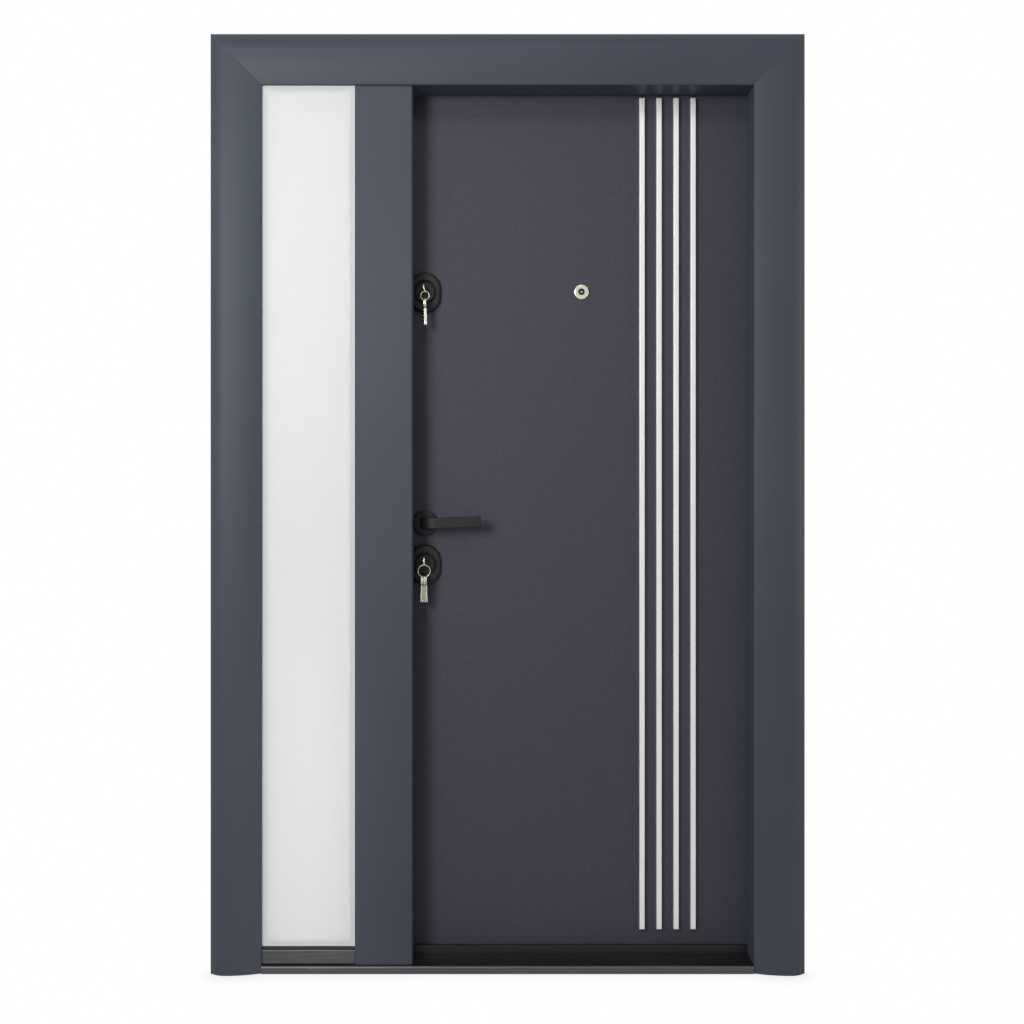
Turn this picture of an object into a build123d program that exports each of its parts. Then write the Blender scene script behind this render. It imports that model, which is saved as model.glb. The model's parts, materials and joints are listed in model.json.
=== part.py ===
"""Steel entrance door with a fixed glazed sidelight, in its frame.

X runs to the right seen from outside, Y into the building, Z up. The origin is
on the underside of the sill, at mid width, in the plane of the wall face.
"""
import os

from build123d import *

# Frame: folded sheet, one section for both jambs and the head
frame_width = 1299
frame_height = 2054
sheet = 2
fold_r = 2.5
casing_face = 111
casing_crest = 77
casing_crest_y = -19
casing_inner_y = -6
casing_outer_y = -5
casing_lip = 12
inner_rise = casing_inner_y - casing_crest_y
outer_rise = casing_outer_y - casing_crest_y
inner_crown_r = (casing_crest**2 + inner_rise**2) / (2 * inner_rise)
outer_crown_r = ((casing_face - casing_crest) ** 2 + outer_rise**2) / (2 * outer_rise)
stop_y = 71
stop_depth = 20
back_y = 132
back_flange = 45
inner_x = frame_width / 2 - casing_face
inner_z = frame_height - casing_face
wall_bolt_d = 11
wall_bolt_y = 105
wall_bolt_end = 250
wall_bolt_middle = 275
wall_bolt_heights = (
    wall_bolt_end,
    frame_height / 2 - wall_bolt_middle,
    frame_height / 2 + wall_bolt_middle,
    frame_height - wall_bolt_end,
)

# Sill
tread_z = 17
sill_front_y = -9
sill_nose = 5
upstand_t = 6
upstand_z = 34
upstand_y = stop_y - upstand_t

# Mullion between sidelight and leaf
sidelight_w = 203.5
mullion_w = 126
mullion_cover_y = 38
mullion_edge_r = 3
mullion_lap = 27
mullion_left = sidelight_w - inner_x
mullion_right = mullion_left + mullion_w
post_stop_x = mullion_right - mullion_lap
post_rebate_x = post_stop_x - stop_depth

# Sidelight
rail_z = 49
rail_front_y = 0.5
rail_back_y = 60
pane_front_y = 1
pane_t = 6
cavity = 12
spacer_w = 10
edge_seal = 1
foot_seal = 8.5
bead = 15
bead_chamfer = 5
pane_back_y = pane_front_y + 2 * pane_t + cavity
pane_w = sidelight_w - 2 * edge_seal
pane_h = inner_z - edge_seal - rail_z - foot_seal
pane_x = mullion_left - sidelight_w / 2
pane_z = inner_z - edge_seal - pane_h / 2

# Leaf
lock_gap = 10
leaf_lap = 15
leaf_bottom = 24
leaf_front_y = 76
leaf_t = 55
skin = 2
leaf_left = post_rebate_x + lock_gap
leaf_right = inner_x + leaf_lap
leaf_top = inner_z + leaf_lap
leaf_back_y = leaf_front_y + leaf_t
leaf_mid_y = leaf_front_y + leaf_t / 2
leaf_w = leaf_right - leaf_left
leaf_h = leaf_top - leaf_bottom
leaf_x = (leaf_left + leaf_right) / 2
leaf_z = (leaf_bottom + leaf_top) / 2
seal_w = 7
seal_inset = 3
seal_clearance = 0.5

# Strips on the leaf
strip_w = 12
strip_proud = 11
strip_edge_r = 1.5
strip_pitch = 38.3
strip_from_edge = 136.5
strip_bottom = 69
strip_top = inner_z - 6
strip_places = [leaf_right - strip_from_edge - strip_pitch * n for n in range(4)]

# Locks: outer plate with a guard disc in a round pocket
backset = 60
lock_x = leaf_left + backset
upper_plate_z = 1500
upper_plug_z = upper_plate_z + 6
upper_lean = 15
lower_plate_z = 888
lower_plug_z = lower_plate_z + 9
lower_lean = 0
lock_rows = (
    (upper_plate_z, upper_plug_z, upper_lean),
    (lower_plate_z, lower_plug_z, lower_lean),
)
plate_w = 70
plate_h = 90
plate_t = 12
plate_edge_r = 6
plate_floor = 3
pocket_d = 54
guard_d = 45
guard_t = 6.5
guard_edge_r = 1.5
inner_plate_t = 8
inner_edge_r = 3
plug_r = 8.5
cylinder_w = 10
cylinder_h = 33
plug_clearance = 0.2
keyway_w = 3.1
keyway_h = 9.5
keyway_depth = 24

# Lock edge of the leaf and the post: plates, bolts and latch
edge_plate_w = 24
strike_w = 30
edge_plate_r = 4
bolt_d = 16
bolt_l = 20
bolt_gap = 0.2
strike_gap = 1
latch_w = 12
latch_h = 30
upper_edge_z = 1490
upper_edge_h = 200
main_edge_z = 920
main_edge_h = 260
bolt_pitch = 40
lever_z = 982
edge_rows = ((upper_edge_z, upper_edge_h), (main_edge_z, main_edge_h))
bolt_heights = [upper_edge_z + bolt_pitch * n for n in (-1.5, -0.5, 0.5, 1.5)]
bolt_heights += [main_edge_z - bolt_pitch * n for n in (0.25, 1.25, 2.25)]

# Lever and rose
lever_length = 127
lever_height = 24
lever_t = 12
lever_reach = 55
lever_rise = 2
lever_edge_r = 1.5
bend_r = 36
stem_w = 18
stem_gap = 2
rose_d = 56
rose_t = 9
rose_edge_r = 3
neck_d = 19
neck_sink = 2
spindle_side = 8
spindle_sink = 18
spindle_hole_r = 8
running = 0.05

# Keys and rings
key_t = 2.5
bow_l = 24
bow_h = 24
bow_r = 10.9
blade_l = 39
blade_h = 8.5
bit_pitch = 3
bit_cuts = (2.5, 0.8, 3, 1.2, 2.8, 1)
key_slot_w = 5
key_slot_h = 18
key_slot_x = 5.5
key_out = 40
wire_r = 0.9
upper_ring_r = 9.5
lower_ring_r = 13.5
ring_clearance = 0.5
spare_clearance = 0.6
upper_fan = ((-1.4, -1.6), (1.4, -2.2))
lower_fan = ((-4.6, 2), (-1.6, 0.9), (1.6, -0.9), (4.6, -2))

# Peephole
peephole_from_strip = 136
peephole_x = strip_places[-1] - peephole_from_strip
peephole_z = 1502
peephole_d = 35
peephole_t = 6
peephole_edge_r = 4
peephole_tube_d = 14
peephole_bore_d = 10
eyepiece_d = 26
eyepiece_t = 4
eyepiece_edge_r = 2
lens_t = 4
lens_sink = 2

# Hinges on the inside
hinge_gap = 2.5
hinge_x = leaf_right + hinge_gap
hinge_y = back_y + 11
barrel_r = 10
pin_r = 5
pin_end = 3
pin_end_r = 2
hinge_half = 60
hinge_slip = 0.5
hinge_plate_t = 4
hinge_plate_w = 45
hinge_from_end = 166
hinge_bases = (
    leaf_bottom + hinge_from_end,
    leaf_z - hinge_half,
    leaf_top - hinge_from_end - 2 * hinge_half,
)


def facing_out(x, y, z):
    """Upright plane whose normal points out of the building."""
    return Plane(origin=(x, y, z), x_dir=(1, 0, 0), z_dir=(0, -1, 0))


def crown_y(crown_r, reach):
    """Depth of the sheet's inner face, so far from the crest of the casing."""
    return casing_crest_y + crown_r - ((crown_r - sheet) ** 2 - reach**2) ** 0.5


def frame_section():
    """Frame profile: x from the inner edge to the wall, y as depth."""
    inner_bend_y = crown_y(inner_crown_r, casing_crest - sheet)
    outer_bend_y = crown_y(outer_crown_r, casing_face - casing_crest - sheet)
    lip_end = casing_face - casing_lip
    flange_end = stop_depth + back_flange
    with BuildSketch() as section:
        with BuildLine():
            Polyline(
                (flange_end, back_y - sheet),
                (flange_end, back_y),
                (stop_depth, back_y),
                (stop_depth, stop_y),
                (0, stop_y),
                (0, casing_inner_y),
            )
            crest = (casing_crest, casing_crest_y)
            RadiusArc((0, casing_inner_y), crest, -inner_crown_r)
            RadiusArc(crest, (casing_face, casing_outer_y), -outer_crown_r)
            Polyline(
                (casing_face, casing_outer_y),
                (casing_face, 0),
                (lip_end, 0),
                (lip_end, -sheet),
                (casing_face - sheet, -sheet),
                (casing_face - sheet, outer_bend_y),
            )
            crest = (casing_crest, casing_crest_y + sheet)
            RadiusArc(
                (casing_face - sheet, outer_bend_y), crest, outer_crown_r - sheet
            )
            RadiusArc(crest, (sheet, inner_bend_y), inner_crown_r - sheet)
            Polyline(
                (sheet, inner_bend_y),
                (sheet, stop_y - sheet),
                (stop_depth + sheet, stop_y - sheet),
                (stop_depth + sheet, back_y - sheet),
                (flange_end, back_y - sheet),
            )
        make_face()
        folds = ((0, casing_inner_y), (0, stop_y), (stop_depth, back_y))
        fillet(
            [section.vertices().sort_by_distance((*fold, 0))[0] for fold in folds],
            fold_r,
        )
    return section.sketch


def cylinder_section(clearance=0):
    """Lock cylinder profile with its plug at the origin."""
    with BuildSketch() as section:
        Circle(plug_r + clearance)
        with Locations((0, plug_r - cylinder_h / 2)):
            SlotOverall(
                cylinder_h + 2 * clearance, cylinder_w + 2 * clearance, rotation=90
            )
    return section.sketch


def through_holes():
    """What passes through the leaf: cylinders, spindle and peephole."""
    with BuildSketch() as holes:
        for plate_z, plug_z, lean in lock_rows:
            with Locations((lock_x, plug_z)):
                add(cylinder_section(plug_clearance))
        with Locations((lock_x, lever_z)):
            Circle(spindle_hole_r)
        with Locations((peephole_x, peephole_z)):
            Circle(peephole_tube_d / 2)
    return holes.sketch


def edge_openings(gap):
    """Bolt and latch openings on the lock edge: x as depth, y as height."""
    with BuildSketch() as openings:
        for z in bolt_heights:
            with Locations((leaf_mid_y, z)):
                Circle(bolt_d / 2 + gap)
        with Locations((leaf_mid_y, lever_z)):
            Rectangle(latch_w + 2 * gap, latch_h + 2 * gap)
    return openings.sketch


def lever_plan():
    """Lever seen from above: spindle axis at x = 0, leaf face at y = 0."""
    front = -lever_reach
    with BuildSketch() as plan:
        with BuildLine():
            outer = Line(
                (-stem_w / 2, -rose_t - stem_gap), (-stem_w / 2, front + bend_r)
            )
            bend_x = bend_r - stem_w / 2
            RadiusArc(outer @ 1, (bend_x, front), -bend_r)
            Polyline(
                (bend_x, front),
                (lever_length, front),
                (lever_length, front + lever_t),
                (bend_x, front + lever_t),
            )
            inner_r = bend_r - stem_w
            RadiusArc(
                (bend_x, front + lever_t),
                (stem_w / 2, front + lever_t + inner_r),
                inner_r,
            )
            Polyline(
                (stem_w / 2, front + lever_t + inner_r),
                (stem_w / 2, -rose_t - stem_gap),
                (-stem_w / 2, -rose_t - stem_gap),
            )
        make_face()
    return plan.sketch


def key_outline():
    """Key in its own plane: bow end at x = 0, blade along x."""
    half = blade_h / 2
    first_cut = bow_l + blade_l - bit_pitch * (len(bit_cuts) + 2)
    bits = [
        (first_cut + bit_pitch * n, half - cut) for n, cut in enumerate(bit_cuts)
    ]
    with BuildSketch() as outline:
        with Locations((bow_l / 2, 0)):
            RectangleRounded(bow_l, bow_h, bow_r)
        with BuildLine():
            Polyline(
                (bow_l - bow_r, -half),
                (bow_l - bow_r, half),
                (first_cut - bit_pitch, half),
                *bits,
                (bow_l + blade_l, 0),
                (bow_l + blade_l - bit_pitch, -half),
                close=True,
            )
        make_face()
        with Locations((key_slot_x, 0)):
            SlotOverall(key_slot_h, key_slot_w, rotation=90, mode=Mode.SUBTRACT)
    return outline.sketch


left_plane = Plane(origin=(-inner_x, 0, 0), x_dir=(-1, 0, 0), z_dir=(0, 0, -1))
right_plane = Plane(origin=(inner_x, 0, 0), x_dir=(1, 0, 0), z_dir=(0, 0, 1))
head_plane = Plane(origin=(0, 0, inner_z), x_dir=(0, 0, 1), z_dir=(-1, 0, 0))
left_mitre = Plane(
    origin=(-inner_x, 0, inner_z), x_dir=(0, 1, 0), z_dir=(-1, 0, -1)
)
right_mitre = Plane(
    origin=(inner_x, 0, inner_z), x_dir=(0, 1, 0), z_dir=(1, 0, -1)
)

with BuildPart() as left_jamb:
    with BuildSketch(left_plane):
        add(frame_section())
    extrude(amount=-frame_height)
    split(bisect_by=left_mitre, keep=Keep.TOP)
    with BuildSketch(Plane.YZ.offset(-inner_x - stop_depth)):
        for height in wall_bolt_heights:
            with Locations((wall_bolt_y, height)):
                Circle(wall_bolt_d / 2)
    extrude(amount=-sheet, mode=Mode.SUBTRACT)

with BuildPart() as right_jamb:
    with BuildSketch(right_plane):
        add(frame_section())
    extrude(amount=frame_height)
    split(bisect_by=right_mitre, keep=Keep.TOP)
    with BuildSketch(Plane.YZ.offset(inner_x + stop_depth)):
        for height in wall_bolt_heights:
            with Locations((wall_bolt_y, height)):
                Circle(wall_bolt_d / 2)
    extrude(amount=sheet, mode=Mode.SUBTRACT)

with BuildPart() as head:
    with BuildSketch(head_plane):
        add(frame_section())
    extrude(amount=frame_width / 2, both=True)
    split(bisect_by=left_mitre, keep=Keep.BOTTOM)
    split(bisect_by=right_mitre, keep=Keep.BOTTOM)

with BuildPart() as sill:
    with BuildSketch(Plane.YZ):
        with BuildLine() as nosing:
            Polyline(
                (sill_front_y, 0),
                (back_y, 0),
                (back_y, tread_z),
                (sill_front_y + sill_nose, tread_z),
            )
            RadiusArc(nosing.line @ 1, (sill_front_y, tread_z - sill_nose), -sill_nose)
            Line((sill_front_y, tread_z - sill_nose), (sill_front_y, 0))
        make_face()
        offset(amount=-sheet, mode=Mode.SUBTRACT)
    extrude(amount=inner_x, both=True)
    with BuildSketch(Plane.XY):
        for x in (-inner_x - stop_depth / 2, inner_x + stop_depth / 2):
            with Locations((x, (stop_y + back_y) / 2)):
                Rectangle(stop_depth, back_y - stop_y)
    extrude(amount=tread_z)
    with BuildSketch(Plane.YZ.offset(post_stop_x)):
        with Locations((stop_y - upstand_t / 2, (tread_z + upstand_z) / 2)):
            Rectangle(upstand_t, upstand_z - tread_z)
    extrude(amount=inner_x - post_stop_x)

with BuildPart() as mullion_cover:
    with BuildSketch(Plane.XY.offset(tread_z)):
        with Locations((mullion_left + mullion_w / 2, mullion_cover_y / 2)):
            RectangleRounded(mullion_w, mullion_cover_y, mullion_edge_r)
        offset(amount=-sheet, mode=Mode.SUBTRACT)
    extrude(amount=inner_z - tread_z)

with BuildPart() as mullion_post:
    with BuildSketch(Plane.XY.offset(tread_z)):
        with BuildLine():
            Polyline(
                (mullion_left, mullion_cover_y),
                (post_stop_x, mullion_cover_y),
                (post_stop_x, stop_y),
                (post_rebate_x, stop_y),
                (post_rebate_x, back_y),
                (mullion_left, back_y),
                close=True,
            )
        make_face()
        offset(amount=-sheet, mode=Mode.SUBTRACT)
    extrude(amount=inner_z - tread_z)
    with BuildSketch(Plane.XY.offset(inner_z)):
        with Locations(
            ((mullion_left + post_rebate_x) / 2, (stop_y + back_y) / 2)
        ):
            Rectangle(post_rebate_x - mullion_left, back_y - stop_y)
        offset(amount=-sheet, mode=Mode.SUBTRACT)
    extrude(amount=stop_depth)
    with BuildSketch(Plane.YZ.offset(post_rebate_x)):
        add(edge_openings(strike_gap))
    extrude(amount=-sheet, mode=Mode.SUBTRACT)

with BuildPart() as strike_plates:
    with BuildSketch(Plane.YZ.offset(post_rebate_x)):
        for z, height in edge_rows:
            with Locations((leaf_mid_y, z)):
                RectangleRounded(strike_w, height, edge_plate_r)
        add(edge_openings(strike_gap), mode=Mode.SUBTRACT)
    extrude(amount=sheet)

with BuildPart() as sidelight_rail:
    with BuildSketch(Plane.YZ.offset(-inner_x)):
        with Locations(((rail_front_y + rail_back_y) / 2, (tread_z + rail_z) / 2)):
            RectangleRounded(rail_back_y - rail_front_y, rail_z - tread_z, fold_r)
        offset(amount=-sheet, mode=Mode.SUBTRACT)
    extrude(amount=sidelight_w)

with BuildPart() as outer_pane:
    with BuildSketch(facing_out(pane_x, pane_front_y, pane_z)):
        Rectangle(pane_w, pane_h)
    extrude(amount=-pane_t)

with BuildPart() as pane_spacer:
    with BuildSketch(facing_out(pane_x, pane_front_y + pane_t, pane_z)):
        Rectangle(pane_w, pane_h)
        offset(amount=-spacer_w, mode=Mode.SUBTRACT)
    extrude(amount=-cavity)

with BuildPart() as inner_pane:
    with BuildSketch(facing_out(pane_x, pane_back_y - pane_t, pane_z)):
        Rectangle(pane_w, pane_h)
    extrude(amount=-pane_t)

with BuildPart() as pane_seal:
    with BuildSketch(facing_out(pane_x, pane_front_y, pane_z)):
        with Locations((0, edge_seal / 2)):
            Rectangle(sidelight_w, pane_h + edge_seal)
        Rectangle(pane_w, pane_h, mode=Mode.SUBTRACT)
    extrude(amount=pane_front_y - pane_back_y)

with BuildPart() as foot_gasket:
    with BuildSketch(facing_out(pane_x, pane_front_y, rail_z + foot_seal / 2)):
        Rectangle(sidelight_w, foot_seal)
    extrude(amount=pane_front_y - pane_back_y)

with BuildPart() as upright_beads:
    with BuildSketch(Plane.XY.offset(rail_z)) as bead_sections:
        for x in (-inner_x + bead / 2, mullion_left - bead / 2):
            with Locations((x, pane_back_y + bead / 2)):
                Rectangle(bead, bead)
        inside = bead_sections.vertices().group_by(Axis.Y)[-1].sort_by(Axis.X)[1:3]
        chamfer(inside, bead_chamfer)
    extrude(amount=inner_z - rail_z)

with BuildPart() as level_beads:
    with BuildSketch(Plane.YZ.offset(-inner_x + bead)) as bead_sections:
        for z in (rail_z + bead / 2, inner_z - bead / 2):
            with Locations((pane_back_y + bead / 2, z)):
                Rectangle(bead, bead)
        inside = bead_sections.vertices().group_by(Axis.X)[-1].sort_by(Axis.Y)[1:3]
        chamfer(inside, bead_chamfer)
    extrude(amount=sidelight_w - 2 * bead)

with BuildPart() as leaf_seal:
    seal_left = post_stop_x - seal_inset - seal_w
    seal_right = inner_x + seal_inset + seal_w
    seal_top = inner_z + seal_inset + seal_w
    with BuildSketch(facing_out(0, stop_y, 0)):
        with BuildLine():
            Polyline(
                (seal_left, upstand_z),
                (seal_left, seal_top),
                (seal_right, seal_top),
                (seal_right, upstand_z),
                (seal_right - seal_w, upstand_z),
                (seal_right - seal_w, seal_top - seal_w),
                (seal_left + seal_w, seal_top - seal_w),
                (seal_left + seal_w, upstand_z),
                close=True,
            )
        make_face()
    extrude(amount=stop_y + seal_clearance - leaf_front_y)

with BuildPart() as frame_hinges:
    for base in hinge_bases:
        with BuildSketch(Plane.XY.offset(base)):
            with Locations((hinge_x, hinge_y)):
                Circle(barrel_r)
            with Locations((hinge_x + hinge_plate_w / 2, back_y + hinge_plate_t / 2)):
                Rectangle(hinge_plate_w, hinge_plate_t)
            with Locations((hinge_x, hinge_y)):
                Circle(pin_r, mode=Mode.SUBTRACT)
        extrude(amount=hinge_half)

with BuildPart() as hinge_pins:
    for base in hinge_bases:
        with BuildSketch(Plane.XY.offset(base - pin_end)):
            with Locations((hinge_x, hinge_y)):
                Circle(pin_r)
        extrude(amount=2 * hinge_half + 2 * pin_end)
    fillet(hinge_pins.edges().filter_by(GeomType.CIRCLE), pin_end_r)

with BuildPart() as leaf_hinges:
    for base in hinge_bases:
        with BuildSketch(Plane.XY.offset(base + hinge_half + hinge_slip)):
            with Locations((hinge_x, hinge_y)):
                Circle(barrel_r)
            with BuildLine():
                Polyline(
                    (hinge_x - hinge_gap, leaf_back_y),
                    (hinge_x, leaf_back_y + hinge_plate_t / 2),
                    (hinge_x, leaf_back_y + hinge_plate_t),
                    (hinge_x - hinge_plate_w, leaf_back_y + hinge_plate_t),
                    (hinge_x - hinge_plate_w, leaf_back_y),
                    close=True,
                )
            make_face()
            with Locations((hinge_x, hinge_y)):
                Circle(pin_r + running, mode=Mode.SUBTRACT)
        extrude(amount=hinge_half - hinge_slip)

with BuildPart() as leaf_outer_skin:
    with BuildSketch(facing_out(leaf_x, leaf_back_y - skin, leaf_z)):
        Rectangle(leaf_w, leaf_h)
    extrude(amount=leaf_t - skin)
    fillet(leaf_outer_skin.edges().group_by(Axis.Y)[0], skin)
    with BuildSketch(facing_out(leaf_x, leaf_back_y - skin, leaf_z)):
        Rectangle(leaf_w - 2 * skin, leaf_h - 2 * skin)
    extrude(amount=leaf_t - 2 * skin, mode=Mode.SUBTRACT)
    with BuildSketch(facing_out(0, leaf_back_y, 0)):
        add(through_holes())
    extrude(amount=leaf_t, mode=Mode.SUBTRACT)
    with BuildSketch(Plane.YZ.offset(leaf_left)):
        for z, height in edge_rows:
            with Locations((leaf_mid_y, z)):
                RectangleRounded(edge_plate_w, height, edge_plate_r)
    extrude(amount=skin, mode=Mode.SUBTRACT)

with BuildPart() as leaf_core:
    with BuildSketch(facing_out(leaf_x, leaf_back_y - skin, leaf_z)):
        Rectangle(leaf_w - 2 * skin, leaf_h - 2 * skin)
    extrude(amount=leaf_t - 2 * skin)
    with BuildSketch(facing_out(0, leaf_back_y, 0)):
        add(through_holes())
    extrude(amount=leaf_t, mode=Mode.SUBTRACT)
    with BuildSketch(Plane.YZ.offset(leaf_left)):
        add(edge_openings(bolt_gap))
    extrude(amount=bolt_l, mode=Mode.SUBTRACT)

with BuildPart() as leaf_inner_skin:
    with BuildSketch(facing_out(leaf_x, leaf_back_y, leaf_z)):
        Rectangle(leaf_w, leaf_h)
    extrude(amount=skin)
    with BuildSketch(facing_out(0, leaf_back_y, 0)):
        add(through_holes())
    extrude(amount=skin, mode=Mode.SUBTRACT)

with BuildPart() as leaf_strips:
    for x in strip_places:
        with BuildSketch(facing_out(x, leaf_front_y, (strip_bottom + strip_top) / 2)):
            Rectangle(strip_w, strip_top - strip_bottom)
        extrude(amount=strip_proud)
    fillet(leaf_strips.edges().group_by(Axis.Y)[0], strip_edge_r)

with BuildPart() as lock_faceplates:
    with BuildSketch(Plane.YZ.offset(leaf_left)):
        for z, height in edge_rows:
            with Locations((leaf_mid_y, z)):
                RectangleRounded(edge_plate_w, height, edge_plate_r)
        add(edge_openings(bolt_gap), mode=Mode.SUBTRACT)
    extrude(amount=skin)

with BuildPart() as lock_bolts:
    with BuildSketch(Plane.YZ.offset(leaf_left)):
        add(edge_openings(0))
    extrude(amount=bolt_l)

with BuildPart() as upper_escutcheon:
    with BuildSketch(facing_out(lock_x, leaf_front_y, upper_plate_z)):
        SlotOverall(plate_h, plate_w, rotation=90)
    extrude(amount=plate_t)
    fillet(upper_escutcheon.edges().group_by(Axis.Y)[0], plate_edge_r)
    with BuildSketch(facing_out(lock_x, leaf_front_y - plate_floor, upper_plate_z)):
        Circle(pocket_d / 2)
    extrude(amount=plate_t, mode=Mode.SUBTRACT)
    with BuildSketch(facing_out(lock_x, leaf_front_y, upper_plug_z)):
        add(cylinder_section(plug_clearance))
    extrude(amount=plate_t, mode=Mode.SUBTRACT)

with BuildPart() as lower_escutcheon:
    with BuildSketch(facing_out(lock_x, leaf_front_y, lower_plate_z)):
        SlotOverall(plate_h, plate_w, rotation=90)
    extrude(amount=plate_t)
    fillet(lower_escutcheon.edges().group_by(Axis.Y)[0], plate_edge_r)
    with BuildSketch(facing_out(lock_x, leaf_front_y - plate_floor, lower_plate_z)):
        Circle(pocket_d / 2)
    extrude(amount=plate_t, mode=Mode.SUBTRACT)
    with BuildSketch(facing_out(lock_x, leaf_front_y, lower_plug_z)):
        add(cylinder_section(plug_clearance))
    extrude(amount=plate_t, mode=Mode.SUBTRACT)

with BuildPart() as guard_discs:
    for plate_z, plug_z, lean in lock_rows:
        with BuildSketch(facing_out(lock_x, leaf_front_y - plate_floor, plate_z)):
            Circle(guard_d / 2)
        extrude(amount=guard_t)
    fillet(guard_discs.edges().group_by(Axis.Y)[0], guard_edge_r)
    for plate_z, plug_z, lean in lock_rows:
        with BuildSketch(facing_out(lock_x, leaf_front_y, plug_z)):
            Rectangle(keyway_w, keyway_h, rotation=lean)
        extrude(amount=plate_t, mode=Mode.SUBTRACT)

with BuildPart() as lock_cylinders:
    for plate_z, plug_z, lean in lock_rows:
        with BuildSketch(facing_out(lock_x, leaf_front_y - plate_floor, plug_z)):
            add(cylinder_section())
        extrude(amount=-leaf_t - plate_floor - inner_plate_t - neck_sink)
        with BuildSketch(facing_out(lock_x, leaf_front_y + keyway_depth, plug_z)):
            Rectangle(keyway_w, keyway_h, rotation=lean)
        extrude(amount=keyway_depth + plate_floor, mode=Mode.SUBTRACT)
        with BuildSketch(facing_out(lock_x, leaf_back_y, plug_z)):
            Rectangle(keyway_w, keyway_h)
        extrude(amount=-plate_t, mode=Mode.SUBTRACT)

with BuildPart() as inner_escutcheons:
    for plate_z, plug_z, lean in lock_rows:
        with BuildSketch(facing_out(lock_x, leaf_back_y, plate_z)):
            SlotOverall(plate_h, plate_w, rotation=90)
        extrude(amount=-inner_plate_t)
    fillet(inner_escutcheons.edges().group_by(Axis.Y)[-1], inner_edge_r)
    for plate_z, plug_z, lean in lock_rows:
        with BuildSketch(facing_out(lock_x, leaf_back_y, plug_z)):
            add(cylinder_section(plug_clearance))
        extrude(amount=-inner_plate_t, mode=Mode.SUBTRACT)

with BuildPart() as outer_rose:
    with BuildSketch(facing_out(lock_x, leaf_front_y, lever_z)):
        Circle(rose_d / 2)
    extrude(amount=rose_t)
    fillet(outer_rose.edges().group_by(Axis.Y)[0], rose_edge_r)
    with BuildSketch(facing_out(lock_x, leaf_front_y, lever_z)):
        Circle(neck_d / 2 + running)
    extrude(amount=rose_t, mode=Mode.SUBTRACT)

with BuildPart() as inner_rose:
    with BuildSketch(facing_out(lock_x, leaf_back_y, lever_z)):
        Circle(rose_d / 2)
    extrude(amount=-rose_t)
    fillet(inner_rose.edges().group_by(Axis.Y)[-1], rose_edge_r)
    with BuildSketch(facing_out(lock_x, leaf_back_y, lever_z)):
        Circle(neck_d / 2 + running)
    extrude(amount=-rose_t, mode=Mode.SUBTRACT)

with BuildPart() as outer_lever:
    with BuildSketch(
        Plane(origin=(lock_x, leaf_front_y, lever_z)).rotated((0, -lever_rise, 0))
    ):
        add(lever_plan())
    extrude(amount=lever_height / 2, both=True)
    fillet(outer_lever.edges(), lever_edge_r)
    with BuildSketch(facing_out(lock_x, leaf_front_y - neck_sink, lever_z)):
        Circle(neck_d / 2)
    extrude(amount=rose_t + stem_gap)
    with BuildSketch(facing_out(lock_x, leaf_front_y, lever_z)):
        Rectangle(spindle_side, spindle_side)
    extrude(amount=spindle_sink, mode=Mode.SUBTRACT)

with BuildPart() as inner_lever:
    with BuildSketch(
        Plane(
            origin=(lock_x, leaf_back_y, lever_z), x_dir=(1, 0, 0), z_dir=(0, 0, -1)
        ).rotated((0, -lever_rise, 0))
    ):
        add(lever_plan())
    extrude(amount=lever_height / 2, both=True)
    fillet(inner_lever.edges(), lever_edge_r)
    with BuildSketch(facing_out(lock_x, leaf_back_y + neck_sink, lever_z)):
        Circle(neck_d / 2)
    extrude(amount=-rose_t - stem_gap)
    with BuildSketch(facing_out(lock_x, leaf_back_y, lever_z)):
        Rectangle(spindle_side, spindle_side)
    extrude(amount=-spindle_sink, mode=Mode.SUBTRACT)

with BuildPart() as spindle:
    with BuildSketch(facing_out(lock_x, leaf_mid_y, lever_z)):
        Rectangle(spindle_side, spindle_side)
    extrude(amount=leaf_t / 2 + spindle_sink, both=True)

with BuildPart() as peephole_rim:
    with BuildSketch(facing_out(peephole_x, leaf_front_y, peephole_z)):
        Circle(peephole_d / 2)
    extrude(amount=peephole_t)
    fillet(peephole_rim.edges().group_by(Axis.Y)[0], peephole_edge_r)
    with BuildSketch(facing_out(peephole_x, leaf_back_y, peephole_z)):
        Circle(peephole_tube_d / 2)
    extrude(amount=leaf_t + peephole_t)
    with BuildSketch(facing_out(peephole_x, leaf_back_y, peephole_z)):
        Circle(peephole_bore_d / 2)
    extrude(amount=leaf_t + peephole_t, mode=Mode.SUBTRACT)

with BuildPart() as peephole_eyepiece:
    with BuildSketch(facing_out(peephole_x, leaf_back_y, peephole_z)):
        Circle(eyepiece_d / 2)
    extrude(amount=-eyepiece_t)
    fillet(peephole_eyepiece.edges().group_by(Axis.Y)[-1], eyepiece_edge_r)
    with BuildSketch(facing_out(peephole_x, leaf_back_y, peephole_z)):
        Circle(peephole_bore_d / 2)
    extrude(amount=-eyepiece_t, mode=Mode.SUBTRACT)

with BuildPart() as peephole_lenses:
    for y in (leaf_front_y - peephole_t + lens_sink, leaf_back_y - lens_sink):
        with BuildSketch(facing_out(peephole_x, y, peephole_z)):
            Circle(peephole_bore_d / 2)
        extrude(amount=-lens_t)

bow_y = leaf_front_y - key_out
upper_key_plane = Plane(
    origin=(lock_x, bow_y, upper_plug_z), x_dir=(0, 1, 0), z_dir=(1, 0, 0)
).rotated((0, -upper_lean, 0))
lower_key_plane = Plane(
    origin=(lock_x, bow_y, lower_plug_z), x_dir=(0, 1, 0), z_dir=(1, 0, 0)
).rotated((0, -lower_lean, 0))

with BuildPart() as upper_key:
    with BuildSketch(upper_key_plane):
        add(key_outline())
    extrude(amount=key_t / 2, both=True)

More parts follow.
